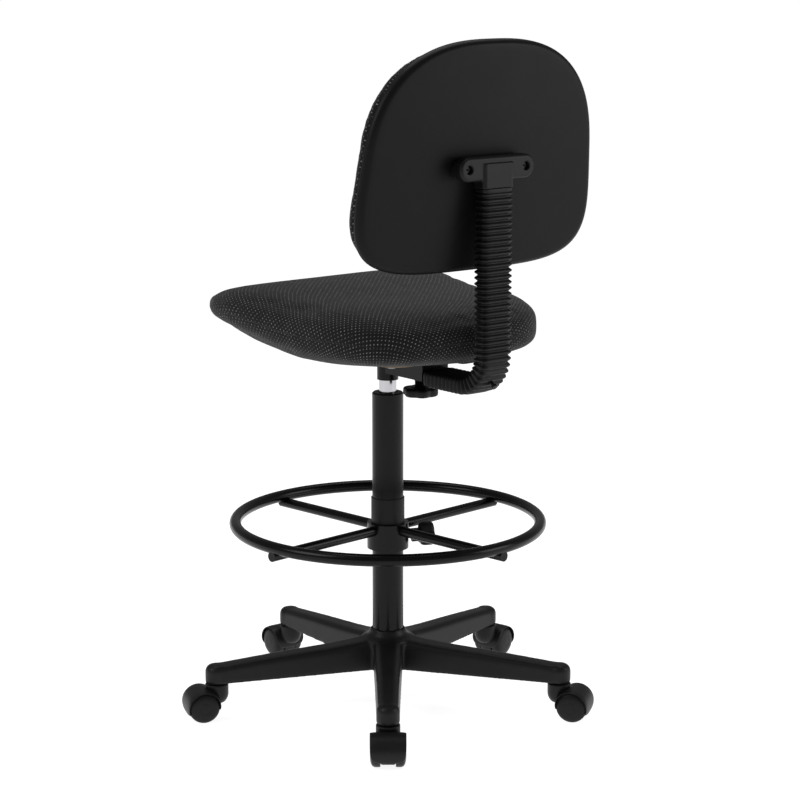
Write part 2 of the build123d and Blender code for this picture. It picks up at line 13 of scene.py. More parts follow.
import bmesh
import bpy
import numpy as np
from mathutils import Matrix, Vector

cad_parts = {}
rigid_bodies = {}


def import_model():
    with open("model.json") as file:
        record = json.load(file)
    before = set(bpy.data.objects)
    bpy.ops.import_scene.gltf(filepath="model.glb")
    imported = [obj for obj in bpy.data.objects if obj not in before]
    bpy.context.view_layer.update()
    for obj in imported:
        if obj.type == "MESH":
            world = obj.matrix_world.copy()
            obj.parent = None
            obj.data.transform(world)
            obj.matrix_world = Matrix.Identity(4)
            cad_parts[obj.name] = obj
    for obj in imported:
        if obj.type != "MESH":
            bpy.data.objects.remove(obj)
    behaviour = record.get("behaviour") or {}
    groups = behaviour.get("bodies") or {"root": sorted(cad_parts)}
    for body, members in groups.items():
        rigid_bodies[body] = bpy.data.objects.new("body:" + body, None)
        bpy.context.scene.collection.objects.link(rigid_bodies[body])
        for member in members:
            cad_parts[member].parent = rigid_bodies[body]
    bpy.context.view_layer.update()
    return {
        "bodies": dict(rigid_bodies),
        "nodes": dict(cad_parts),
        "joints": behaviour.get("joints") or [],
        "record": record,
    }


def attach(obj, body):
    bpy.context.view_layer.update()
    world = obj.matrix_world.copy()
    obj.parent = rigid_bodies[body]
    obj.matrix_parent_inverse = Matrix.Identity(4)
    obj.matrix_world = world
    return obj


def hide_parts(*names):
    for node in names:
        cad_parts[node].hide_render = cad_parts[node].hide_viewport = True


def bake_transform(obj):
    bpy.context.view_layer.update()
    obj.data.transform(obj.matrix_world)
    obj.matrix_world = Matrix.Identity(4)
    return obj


LOG = logging.getLogger("drafting_chair")
Grid = np.ndarray
Colour = tuple[float, float, float]
Corner = tuple[float, float]
NodeValues = dict[str | int, object]
MERGE_DISTANCE = 1e-6


class Side(Enum):
    """Which of a caster's two wheels."""

    LEFT = "left"
    RIGHT = "right"


class Closing(Enum):
    """How a grid's two end rows are closed."""

    POLES = "poles"
    LOOP = "loop"


# ---- Mesh tools ---------------------------------------------------------------
def mesh_object(name: str, points: np.ndarray, faces: list[tuple[int, ...]] | np.ndarray) -> bpy.types.Object:
    """Make a smooth-shaded mesh object from arrays.

    Args:
        name: the piece's name.
        points: (n, 3) vertex places in metres.
        faces: vertex indices of each face.

    Returns:
        The linked object, at the origin.
    """
    mesh = bpy.data.meshes.new(name)
    mesh.from_pydata(points.tolist(), [], faces.tolist() if isinstance(faces, np.ndarray) else faces)
    mesh.validate()
    mesh.shade_smooth()
    piece = bpy.data.objects.new(name, mesh)
    bpy.context.scene.collection.objects.link(piece)
    return piece


def ring_angles(count: int) -> np.ndarray:
    """Evenly spaced angles once round, without the last one that would repeat the first."""
    return np.linspace(0, tau, count, endpoint=False)


def signed_power(values: np.ndarray, power: float) -> np.ndarray:
    """Raise magnitudes to a power and keep the signs."""
    return np.sign(values) * np.abs(values) ** power


def grid_faces(rows: int, columns: int, wrap_rows: bool) -> np.ndarray:
    """Quads of a (rows, columns) grid whose columns wrap round.

    Args:
        rows: count along the first parameter.
        columns: count along the wrapped second parameter.
        wrap_rows: whether the last row joins the first.

    Returns:
        (k, 4) vertex indices.
    """
    i = np.arange(rows if wrap_rows else rows - 1)[:, None]
    j = np.arange(columns)[None, :]
    i2, j2 = (i + 1) % rows, (j + 1) % columns
    quads = np.stack([i * columns + j, i * columns + j2, i2 * columns + j2, i2 * columns + j], -1)
    return quads.reshape(-1, 4)


def wrapped_surface(name: str, grid: Grid, closing: Closing) -> bpy.types.Object:
    """Turn a (rows, columns, 3) grid with wrapping columns into a closed piece.

    Args:
        name: the piece's name.
        grid: the surface's points; each row is one closed loop.
        closing: whether the end rows close on a point each or join each other.

    Returns:
        The new object with its faces pointing outwards.
    """
    rows, columns, _ = grid.shape
    points = grid.reshape(-1, 3)
    quads = grid_faces(rows, columns, closing is Closing.LOOP)
    faces: list[tuple[int, ...]] = [tuple(quad) for quad in quads.tolist()]
    if closing is Closing.POLES:
        first, last = len(points), len(points) + 1
        points = np.vstack([points, grid[0].mean(0), grid[-1].mean(0)])
        loop = range(columns)
        faces += [(first, (j + 1) % columns, j) for j in loop]
        base = (rows - 1) * columns
        faces += [(last, base + j, base + (j + 1) % columns) for j in loop]
    piece = mesh_object(name, points, faces)
    face_outwards(piece)
    return piece


def face_outwards(piece: bpy.types.Object) -> None:
    """Merge doubled points and turn every face outwards."""
    work = bmesh.new()
    work.from_mesh(piece.data)
    bmesh.ops.remove_doubles(work, verts=work.verts, dist=MERGE_DISTANCE)
    bmesh.ops.recalc_face_normals(work, faces=work.faces)
    work.to_mesh(piece.data)
    work.free()


def turned_surface(name: str, profile: list[Corner], columns: int = 64) -> bpy.types.Object:
    """Surface of revolution about Z; each (radius, height) corner of the profile becomes one ring.

    Args:
        name: the piece's name.
        profile: rings from one pole to the other, or a closed loop when it ends where it starts.
        columns: points round each ring.

    Returns:
        The new object.
    """
    closed = profile[0] == profile[-1]
    rings = np.array(profile[:-1] if closed else profile)
    turn = np.arange(columns) * tau / columns
    grid = np.stack([rings[:, :1] * np.cos(turn), rings[:, :1] * np.sin(turn),
                     np.repeat(rings[:, 1:], columns, axis=1)], -1)
    return wrapped_surface(name, grid, Closing.LOOP if closed else Closing.POLES)


def rounded_profile(corners: list[Corner], radii: list[float], steps: int = 5) -> list[Corner]:
    """Replace each inner corner of a profile by an arc-like curve.

    A corner becomes a quadratic curve that leaves each side at the given distance from it.

    Args:
        corners: (radius, height) corners in order.
        radii: rounding of each corner; 0 keeps it sharp.
        steps: points per rounding.

    Returns:
        The softened profile.
    """
    result: list[Corner] = []
    count = len(corners)
    for k, (corner, size) in enumerate(zip(corners, radii)):
        here = np.array(corner)
        if size == 0 or k in (0, count - 1):
            result.append(tuple(here))
            continue
        before, after = np.array(corners[k - 1]) - here, np.array(corners[k + 1]) - here
        start = here + before / np.linalg.norm(before) * size
        end = here + after / np.linalg.norm(after) * size
        t = np.linspace(0, 1, steps)[:, None]
        curve = (1 - t) ** 2 * start + 2 * t * (1 - t) * here + t ** 2 * end
        result += [tuple(p) for p in curve]
    return result


def place(piece: bpy.types.Object, matrix: np.ndarray) -> None:
    """Move a mesh by a (3, 4) matrix, in its own points."""
    mesh = piece.data
    points = np.empty(len(mesh.vertices) * 3)
    mesh.vertices.foreach_get("co", points)
    moved = points.reshape(-1, 3) @ matrix[:, :3].T + matrix[:, 3]
    mesh.vertices.foreach_set("co", moved.ravel())
    mesh.update()


def axes(x_dir: np.ndarray, z_dir: np.ndarray, origin: tuple[float, float, float]) -> np.ndarray:
    """(3, 4) matrix of a local frame from its X and Z directions and its origin."""
    z = np.array(z_dir, float) / np.linalg.norm(z_dir)
    x = np.array(x_dir, float) - np.dot(x_dir, z) * z
    x /= np.linalg.norm(x)
    return np.column_stack([x, np.cross(z, x), z, np.array(origin, float)])


def read_points(piece: bpy.types.Object) -> np.ndarray:
    """(n, 3) vertex places of a mesh object."""
    points = np.empty(len(piece.data.vertices) * 3)
    piece.data.vertices.foreach_get("co", points)
    return points.reshape(-1, 3)


def apply_modifiers(piece: bpy.types.Object) -> None:
    """Bake every modifier into the piece's own mesh."""
    depsgraph = bpy.context.evaluated_depsgraph_get()
    baked = bpy.data.meshes.new_from_object(piece.evaluated_get(depsgraph))
    piece.modifiers.clear()
    old = piece.data
    piece.data = baked
    bpy.data.meshes.remove(old)
    baked.shade_smooth()


def moulded_copy(name: str, sources: list[bpy.types.Object], voxel: float, smooth: int) -> bpy.types.Object:
    """One skin over the sources with softened corners, as a moulding tool leaves them.

    The sources' faces are joined, filled with a fine voxel skin and relaxed a few times.

    Args:
        name: the piece's name.
        sources: closed meshes; scratch meshes among them are left for the caller.
        voxel: skin resolution in metres.
        smooth: relaxing steps.

    Returns:
        The new object.
    """
    work = bmesh.new()
    for source in sources:
        work.from_mesh(source.data)
    bmesh.ops.remove_doubles(work, verts=work.verts, dist=MERGE_DISTANCE)
    mesh = bpy.data.meshes.new(name)
    work.to_mesh(mesh)
    work.free()
    piece = bpy.data.objects.new(name, mesh)
    bpy.context.scene.collection.objects.link(piece)
    remesh = piece.modifiers.new("skin", "REMESH")
    remesh.mode = "VOXEL"
    remesh.voxel_size = voxel
    relax = piece.modifiers.new("relax", "SMOOTH")
    relax.factor = 0.5
    relax.iterations = smooth
    apply_modifiers(piece)
    return piece


def discard(piece: bpy.types.Object) -> None:
    """Remove a scratch object and its mesh."""
    mesh = piece.data
    bpy.data.objects.remove(piece)
    bpy.data.meshes.remove(mesh)


# ---- Shader groups ------------------------------------------------------------
DARK = (0.02, 0.02, 0.02, 1.0)
DUST = (0.09, 0.09, 0.09, 1.0)


@dataclass
class ShaderGroup:
    """A node group under construction: named sockets and a short way to add nodes."""

    name: str
    inputs: dict[str, tuple[str, float | None]]
    outputs: dict[str, str]
    tree: bpy.types.NodeTree = field(init=False)

    def __post_init__(self) -> None:
        """Make the empty group with its sockets."""
        self.tree = bpy.data.node_groups.new(self.name, "ShaderNodeTree")
        for socket, (kind, value) in self.inputs.items():
            made = self.tree.interface.new_socket(socket, in_out="INPUT", socket_type=kind)
            if value is not None:
                made.default_value = value
        for socket, kind in self.outputs.items():
            self.tree.interface.new_socket(socket, in_out="OUTPUT", socket_type=kind)
        self.start = self.tree.nodes.new("NodeGroupInput")
        self.end = self.tree.nodes.new("NodeGroupOutput")

    def node(self, kind: str, values: NodeValues | None = None, **settings: object) -> bpy.types.Node:
        """Add a node, set its properties, and link or set its inputs."""
        return add_node(self.tree, kind, values, **settings)

    def give(self, output: str, socket: bpy.types.NodeSocket) -> None:
        """Link a socket to a group output."""
        self.tree.links.new(socket, self.end.inputs[output])


def add_node(tree: bpy.types.NodeTree, kind: str, values: NodeValues | None = None,
             **settings: object) -> bpy.types.Node:
    """Add a shader node to a tree.

    Args:
        tree: the node tree.
        kind: the node type without its ShaderNode prefix.
        values: input socket (name or number) to a socket to link or a value to set.
        settings: node properties.

    Returns:
        The new node.
    """
    made = tree.nodes.new(f"ShaderNode{kind}")
    for key, value in settings.items():
        setattr(made, key, value)
    for key, value in (values or {}).items():
        if isinstance(value, bpy.types.NodeSocket):
            tree.links.new(value, made.inputs[key])
        else:
            made.inputs[key].default_value = value
    return made


def mould_grain_group() -> bpy.types.NodeTree:
    """Fine pebble grain and slow sheen changes of moulded plastic."""
    group = ShaderGroup(
        "mould_grain",
        {"Grain Scale": ("NodeSocketFloat", 900.0), "Base Roughness": ("NodeSocketFloat", 0.5),
         "Base Color": ("NodeSocketColor", DARK)},
        {"Color": "NodeSocketColor", "Roughness": "NodeSocketFloat", "Height": "NodeSocketFloat"})
    given = group.start.outputs
    place_in = group.node("TexCoord").outputs["Object"]
    grain = group.node("TexVoronoi", {"Vector": place_in, "Scale": given["Grain Scale"]},
                       feature="SMOOTH_F1")
    slow = group.node("TexNoise", {"Vector": place_in, "Scale": 14.0, "Detail": 3.0})
    drift = group.node("Math", {0: slow.outputs["Fac"], 1: 0.14, 2: -0.07}, operation="MULTIPLY_ADD")
    rough = group.node("Math", {0: drift.outputs[0], 1: given["Base Roughness"]}, operation="ADD")
    shade = group.node("MapRange", {0: slow.outputs["Fac"], 3: 0.88, 4: 1.14})
    tint = group.node("Mix", {0: 1.0, 6: given["Base Color"], 7: shade.outputs[0]},
                      data_type="RGBA", blend_type="MULTIPLY")
    group.give("Color", tint.outputs[2])
    group.give("Roughness", rough.outputs[0])
    group.give("Height", grain.outputs["Distance"])
    return group.tree


def rub_group() -> bpy.types.NodeTree:
    """Faint scuffs and dust: streaked noise that lightens and dulls a surface a little."""
    group = ShaderGroup(
        "rub_marks",
        {"Color": ("NodeSocketColor", DARK), "Roughness": ("NodeSocketFloat", 0.4),
         "Amount": ("NodeSocketFloat", 0.3)},
        {"Color": "NodeSocketColor", "Roughness": "NodeSocketFloat"})
    given = group.start.outputs
    place_in = group.node("TexCoord").outputs["Object"]
    wide = group.node("TexNoise", {"Vector": place_in, "Scale": 30.0, "Detail": 6.0, "Roughness": 0.65})
    mask = group.node("MapRange", {0: wide.outputs["Fac"], 1: 0.55, 2: 0.85, 3: 0.0, 4: 1.0})
    much = group.node("Math", {0: mask.outputs[0], 1: given["Amount"]}, operation="MULTIPLY")
    tint = group.node("Mix", {0: much.outputs[0], 6: given["Color"], 7: DUST}, data_type="RGBA")
    dull = group.node("Math", {0: much.outputs[0], 1: 0.25, 2: given["Roughness"]},
                      operation="MULTIPLY_ADD")
    group.give("Color", tint.outputs[2])
    group.give("Roughness", dull.outputs[0])
    return group.tree


def dot_lattice_group() -> bpy.types.NodeTree:
    """Small dashes at the points of a square lattice.

    A point's place in its own cell is the fraction of its coordinate over the pitch; the dash is where
    that place lies within an ellipse at the cell's middle. Each cell's dash gets its own brightness.
    """
    group = ShaderGroup(
        "dot_lattice",
        {"Vector": ("NodeSocketVector", None), "Shift": ("NodeSocketFloat", 0.0)},
        {"Mask": "NodeSocketFloat"})
    given = group.start.outputs
    moved = group.node("VectorMath", {0: given["Vector"], 1: given["Shift"]}, operation="ADD")
    cell = group.node("VectorMath", {0: moved.outputs[0]}, operation="FLOOR")
    local = group.node("VectorMath", {0: moved.outputs[0]}, operation="FRACTION")
    centred = group.node("VectorMath", {0: local.outputs[0], 1: (0.5, 0.5, 0.0)}, operation="SUBTRACT")
    flat = group.node("VectorMath", {0: centred.outputs[0], 1: (1.0, 1.45, 0.0)}, operation="MULTIPLY")
    away = group.node("VectorMath", {0: flat.outputs[0]}, operation="LENGTH")
    dot = group.node("MapRange", {0: away.outputs["Value"], 1: 0.15, 2: 0.10, 3: 0.0, 4: 1.0})
    chance = group.node("TexWhiteNoise", {"Vector": cell.outputs[0]}, noise_dimensions="2D")
    bright = group.node("MapRange", {0: chance.outputs["Value"], 3: 0.3, 4: 1.0})
    mask = group.node("Math", {0: dot.outputs[0], 1: bright.outputs[0]}, operation="MULTIPLY")
    group.give("Mask", mask.outputs[0])
    return group.tree


# ---- Finishes -----------------------------------------------------------------
@dataclass(frozen=True)
class Finish:
    """A finish that can make its own material."""

    name: str
    colour: Colour
    roughness: float
    gloss: float = field(default=0.2, kw_only=True)

    def material(self) -> bpy.types.Material:
        """Build the node material once and reuse it."""
        name = f"{self.name}_finish"
        known = bpy.data.materials.get(name)
        if known:
            return known
        made = bpy.data.materials.new(name)
        made.use_nodes = True
        made.node_tree.nodes.clear()
        surface = add_node(made.node_tree, "BsdfPrincipled")
        output = add_node(made.node_tree, "OutputMaterial", {"Surface": surface.outputs[0]})
        output.location = (300, 0)
        surface.inputs["Specular IOR Level"].default_value = self.gloss
        self.dress(made.node_tree, surface)
        return made

    def dress(self, tree: bpy.types.NodeTree, surface: bpy.types.Node) -> None:
        """Set a plain colour and roughness; the finishes below add their own detail."""
        surface.inputs["Base Color"].default_value = (*self.colour, 1.0)
        surface.inputs["Roughness"].default_value = self.roughness

    def group(self, tree: bpy.types.NodeTree, name: str, values: NodeValues) -> bpy.types.Node:
        """Place a shader group in the material with its own values."""
        node = tree.nodes.new("ShaderNodeGroup")
        node.node_tree = bpy.data.node_groups[name]
        for key, value in values.items():
            if isinstance(value, bpy.types.NodeSocket):
                tree.links.new(value, node.inputs[key])
            else:
                node.inputs[key].default_value = value
        return node

    def wear(self, piece: bpy.types.Object) -> None:
        """Give the piece this finish as its only material."""
        piece.data.materials.clear()
        piece.data.materials.append(self.material())


@dataclass(frozen=True)
class MouldedPlastic(Finish):
    """Nylon or polypropylene with a pebble grain."""

    grain_scale: float = 900.0
    grain_depth: float = 0.00004
    scuffs: float = 0.25

    def dress(self, tree: bpy.types.NodeTree, surface: bpy.types.Node) -> None:
        """Grain in the bump, slow changes in sheen, and faint rub marks."""
        grain = self.group(tree, "mould_grain", {
            "Grain Scale": self.grain_scale, "Base Roughness": self.roughness,
            "Base Color": (*self.colour, 1.0)})
        rubs = self.group(tree, "rub_marks", {
            "Color": grain.outputs["Color"], "Roughness": grain.outputs["Roughness"],
            "Amount": self.scuffs})
        bump = add_node(tree, "Bump", {
            "Height": grain.outputs["Height"], "Strength": 0.35, "Distance": self.grain_depth})
        tree.links.new(rubs.outputs["Color"], surface.inputs["Base Color"])
        tree.links.new(rubs.outputs["Roughness"], surface.inputs["Roughness"])
        tree.links.new(bump.outputs[0], surface.inputs["Normal"])


@dataclass(frozen=True)
class PowderCoat(Finish):
    """Semi-gloss black paint on steel, with a faint orange peel."""

    peel_scale: float = 260.0

    def dress(self, tree: bpy.types.NodeTree, surface: bpy.types.Node) -> None:
        """Orange peel in the bump under a thin clear gloss."""
        spot = add_node(tree, "TexCoord").outputs["Object"]
        peel = add_node(tree, "TexNoise", {"Vector": spot, "Scale": self.peel_scale, "Detail": 2.0})
        rubs = self.group(tree, "rub_marks", {
            "Color": (*self.colour, 1.0), "Roughness": self.roughness, "Amount": 0.05})
        bump = add_node(tree, "Bump", {"Height": peel.outputs["Fac"], "Strength": 0.25, "Distance": 0.00006})
        tree.links.new(rubs.outputs["Color"], surface.inputs["Base Color"])
        tree.links.new(rubs.outputs["Roughness"], surface.inputs["Roughness"])
        tree.links.new(bump.outputs[0], surface.inputs["Normal"])
        surface.inputs["Coat Weight"].default_value = 0.12
        surface.inputs["Coat Roughness"].default_value = 0.18


@dataclass(frozen=True)
class BareMetal(Finish):
    """Plated or polished metal with fine turning marks round Z."""

    marks: float = 0.05

    def dress(self, tree: bpy.types.NodeTree, surface: bpy.types.Node) -> None:
        """Roughness follows noise stretched into fine rings."""
        spot = add_node(tree, "TexCoord").outputs["Object"]
        rings = add_node(tree, "Mapping", {"Vector": spot, "Scale": (20.0, 20.0, 1600.0)})
        noise = add_node(tree, "TexNoise", {"Vector": rings.outputs[0], "Scale": 1.0, "Detail": 2.0})
        rough = add_node(tree, "MapRange", {
            0: noise.outputs["Fac"], 3: self.roughness, 4: self.roughness + self.marks * 2})
        surface.inputs["Base Color"].default_value = (*self.colour, 1.0)
        surface.inputs["Metallic"].default_value = 1.0
        tree.links.new(rough.outputs[0], surface.inputs["Roughness"])


@dataclass(frozen=True)
class DottedCloth(Finish):
    """Black upholstery cloth with small pale dashes in staggered rows.

    The pattern follows the piece's UV map, whose unit is one metre of cloth.
    """

    dot_colour: Colour = (0.24, 0.24, 0.24)
    dot_pitch: float = 0.0096
    thread: float = 0.0011

    def dress(self, tree: bpy.types.NodeTree, surface: bpy.types.Node) -> None:
        """Two square lattices half a cell apart give the staggered rows; crossed waves give the weave."""
        cloth = add_node(tree, "UVMap", uv_map="cloth").outputs[0]
        cells = add_node(tree, "VectorMath", {0: cloth, 3: 1 / self.dot_pitch}, operation="SCALE")
        first = self.group(tree, "dot_lattice", {"Vector": cells.outputs[0], "Shift": 0.0})
        second = self.group(tree, "dot_lattice", {"Vector": cells.outputs[0], "Shift": 0.5})
        dots = add_node(tree, "Math", {0: first.outputs[0], 1: second.outputs[0]}, operation="MAXIMUM")
        wave = {"Vector": cloth, "Scale": 0.314 / self.thread, "Distortion": 1.5, "Detail": 1.0}
        across, along = (add_node(tree, "TexWave", wave, bands_direction=way) for way in ("X", "Y"))
        weave = add_node(tree, "Math", {0: across.outputs["Fac"], 1: along.outputs["Fac"]},
                         operation="MULTIPLY")
        mottle = add_node(tree, "TexNoise", {"Vector": cloth, "Scale": 600.0, "Detail": 2.0})
        ground = add_node(tree, "MapRange", {0: mottle.outputs["Fac"], 1: 0.3, 2: 0.75, 3: 0.55, 4: 1.6})
        black = add_node(tree, "Mix", {0: 1.0, 6: (*self.colour, 1.0), 7: ground.outputs[0]},
                         data_type="RGBA", blend_type="MULTIPLY")
        colour = add_node(tree, "Mix", {0: dots.outputs[0], 6: black.outputs[2],
                                        7: (*self.dot_colour, 1.0)}, data_type="RGBA")
        height = add_node(tree, "Math", {0: weave.outputs[0], 1: dots.outputs[0]}, operation="ADD")
        bump = add_node(tree, "Bump", {"Height": height.outputs[0], "Strength": 0.5, "Distance": 0.0003})
        tree.links.new(colour.outputs[2], surface.inputs["Base Color"])
        tree.links.new(bump.outputs[0], surface.inputs["Normal"])
        surface.inputs["Roughness"].default_value = self.roughness
        surface.inputs["Sheen Weight"].default_value = 0.12
        surface.inputs["Sheen Roughness"].default_value = 0.5
        surface.inputs["Specular IOR Level"].default_value = 0.12


@dataclass(frozen=True)
class Ply(Finish):
    """Raw plywood with stretched grain."""

    def dress(self, tree: bpy.types.NodeTree, surface: bpy.types.Node) -> None:
        """Grain is noise stretched along Y between two browns."""
        spot = add_node(tree, "TexCoord").outputs["Object"]
        long = add_node(tree, "Mapping", {"Vector": spot, "Scale": (60.0, 4.0, 240.0)})
        noise = add_node(tree, "TexNoise", {"Vector": long.outputs[0], "Scale": 1.0, "Detail": 5.0})
        dark = tuple(0.55 * c for c in self.colour)
        colour = add_node(tree, "Mix", {0: noise.outputs["Fac"], 6: (*dark, 1.0),
                                        7: (*self.colour, 1.0)}, data_type="RGBA")
        tree.links.new(colour.outputs[2], surface.inputs["Base Color"])
        surface.inputs["Roughness"].default_value = self.roughness


NYLON = MouldedPlastic("black_nylon", (0.009, 0.009, 0.0095), 0.42, 700.0, 0.00005, 0.05)
WHEEL = MouldedPlastic("wheel_nylon", (0.005, 0.005, 0.0055), 0.38, 900.0, 0.00003, 0.07)
HARD_PLASTIC = MouldedPlastic("black_plastic", (0.0045, 0.0045, 0.005), 0.45, 800.0, 0.00005, 0.05)
SHELL = MouldedPlastic("shell_plastic", (0.0035, 0.0035, 0.004), 0.44, 620.0, 0.00006, 0.03, gloss=0.13)
RUBBER = MouldedPlastic("bellows_rubber", (0.004, 0.004, 0.0045), 0.42, 1200.0, 0.00003, 0.05)
PAINT = PowderCoat("black_paint", (0.0018, 0.0018, 0.002), 0.26, gloss=0.12)
CHROME = BareMetal("chrome_tube", (0.5, 0.5, 0.52), 0.12, 0.03)
STEEL = BareMetal("plain_steel", (0.42, 0.42, 0.43), 0.3, 0.08)
BLACKENED = BareMetal("blackened_steel", (0.05, 0.05, 0.055), 0.35, 0.06)
CLOTH = DottedCloth("seat_fabric", (0.007, 0.007, 0.0075), 0.9)
LINING = MouldedPlastic("lining_fabric", (0.02, 0.02, 0.02), 0.9, 1500.0, 0.0001, 0.1)
PLYWOOD = Ply("plywood", (0.45, 0.32, 0.2), 0.6)


# ---- Shared shapes ------------------------------------------------------------
@dataclass
class SuperOutline:
    """Closed outline whose corners round off by a power law, narrower at one end."""

    half_x: float
    half_y: float
    low_power: float
    high_power: float
    taper: float

    def loop(self, turn: np.ndarray, scale: np.ndarray | float = 1.0) -> tuple[np.ndarray, np.ndarray]:
        """x and y of the outline: signed powers of the cosine and sine, with x narrowed towards +y.

        Args:
            turn: angles round the outline.
            scale: share of the way from the centre to the rim.

        Returns:
            The x and y arrays.
        """
        c, s = np.cos(turn), np.sin(turn)
        power = 2 / np.where(s > 0, self.high_power, self.low_power)
        x = signed_power(c, power)
        y = signed_power(s, power)
        return self.half_x * x * (1 - self.taper * y) * scale, self.half_y * y * scale

    def rim_share(self, x: np.ndarray, y: np.ndarray) -> np.ndarray:
        """How far out a point lies: 0 at the centre, 1 on the outline."""
        v = np.clip(y / self.half_y, -1.2, 1.2)
        u = x / (self.half_x * (1 - self.taper * v))
        power = np.where(v > 0, self.high_power, self.low_power)
        return (np.abs(u) ** power + np.abs(v) ** power) ** (1 / power)

    def outward(self, x: np.ndarray, y: np.ndarray) -> np.ndarray:
        """(n, 2) unit directions away from the outline's middle; they turn slowly round the corners."""
        return np.stack([x, y], -1) / (np.hypot(x, y)[:, None] + 1e-9)


CLOTH_SETTINGS = {
    "quality": 5, "mass": 0.3, "tension_stiffness": 18.0, "compression_stiffness": 18.0,
    "bending_stiffness": 0.6, "use_pressure": True, "vertex_group_mass": "held",
}


@dataclass
class Upholstery:
    """A padded piece: cloth over foam, blown out by a short cloth simulation."""

    name: str
    finish: Finish
    voxel: float = 0.0055
    pressure: float = 4.0
    frames: int = 16
    cap: float = 0.006
    inward_kept: float = 0.15

    def swell(self, piece: bpy.types.Object, held: np.ndarray) -> None:
        """Remesh the pad, let the cloth swell under pressure, and keep the result.

        Args:
            piece: the pad, slightly smaller than the finished one.
            held: plane as (point, normal) rows; points behind it stay put.
        """
        remesh = piece.modifiers.new("skin", "REMESH")
        remesh.mode = "VOXEL"
        remesh.voxel_size = self.voxel
        apply_modifiers(piece)
        start = read_points(piece)
        normals = np.empty(start.size)
        piece.data.vertices.foreach_get("normal", normals)
        normals = normals.reshape(start.shape)
        depth = (start - held[0]) @ held[1]
        pins = piece.vertex_groups.new(name="held")
        pins.add(np.flatnonzero(depth < 0).tolist(), 1.0, "REPLACE")
        cloth = piece.modifiers.new("cloth", "CLOTH")
        for key, value in CLOTH_SETTINGS.items():
            setattr(cloth.settings, key, value)
        cloth.settings.uniform_pressure_force = self.pressure
        cloth.settings.effector_weights.gravity = 0.0
        cloth.collision_settings.use_collision = False
        scene = bpy.context.scene
        for frame in range(1, self.frames + 1):
            scene.frame_set(frame)
        apply_modifiers(piece)
        scene.frame_set(1)
        moved = read_points(piece) - start
        inward = np.minimum(0.0, np.sum(moved * normals, axis=1, keepdims=True))
        moved -= (1 - self.inward_kept) * inward * normals
        length = np.linalg.norm(moved, axis=1, keepdims=True)
        points = start + moved * np.minimum(1.0, self.cap / np.maximum(length, 1e-9))
        piece.data.vertices.foreach_set("co", points.ravel())
        piece.vertex_groups.clear()
        relax = piece.modifiers.new("relax", "SMOOTH")
        relax.iterations = 3
        finer = piece.modifiers.new("finer", "SUBSURF")
        finer.levels = finer.render_levels = 1
        apply_modifiers(piece)

    def lay_cloth(self, piece: bpy.types.Object, flat: np.ndarray) -> None:
        """Store a cloth place in metres for every vertex as the UV map that the pattern reads."""
        mesh = piece.data
        while mesh.uv_layers:
            mesh.uv_layers.remove(mesh.uv_layers[0])
        layer = mesh.uv_layers.new(name="cloth")
        corner = np.empty(len(mesh.loops), dtype=np.int32)
        mesh.loops.foreach_get("vertex_index", corner)
        layer.data.foreach_set("uv", flat[corner].astype(np.float32).ravel())

    def finish_piece(self, piece: bpy.types.Object, body: str, fill: float, *nodes: str) -> bpy.types.Object:
        """Dress the pad and tie it to the frame."""
        self.finish.wear(piece)
        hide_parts(*nodes)
        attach(piece, body)
        LOG.info("%s: %d faces", piece.name, len(piece.data.polygons))
        return piece


def smooth_step(t: np.ndarray) -> np.ndarray:
    """0 to 1 with flat ends: 3t^2 - 2t^3 on the clipped parameter."""
    t = np.clip(t, 0, 1)
    return t * t * (3 - 2 * t)


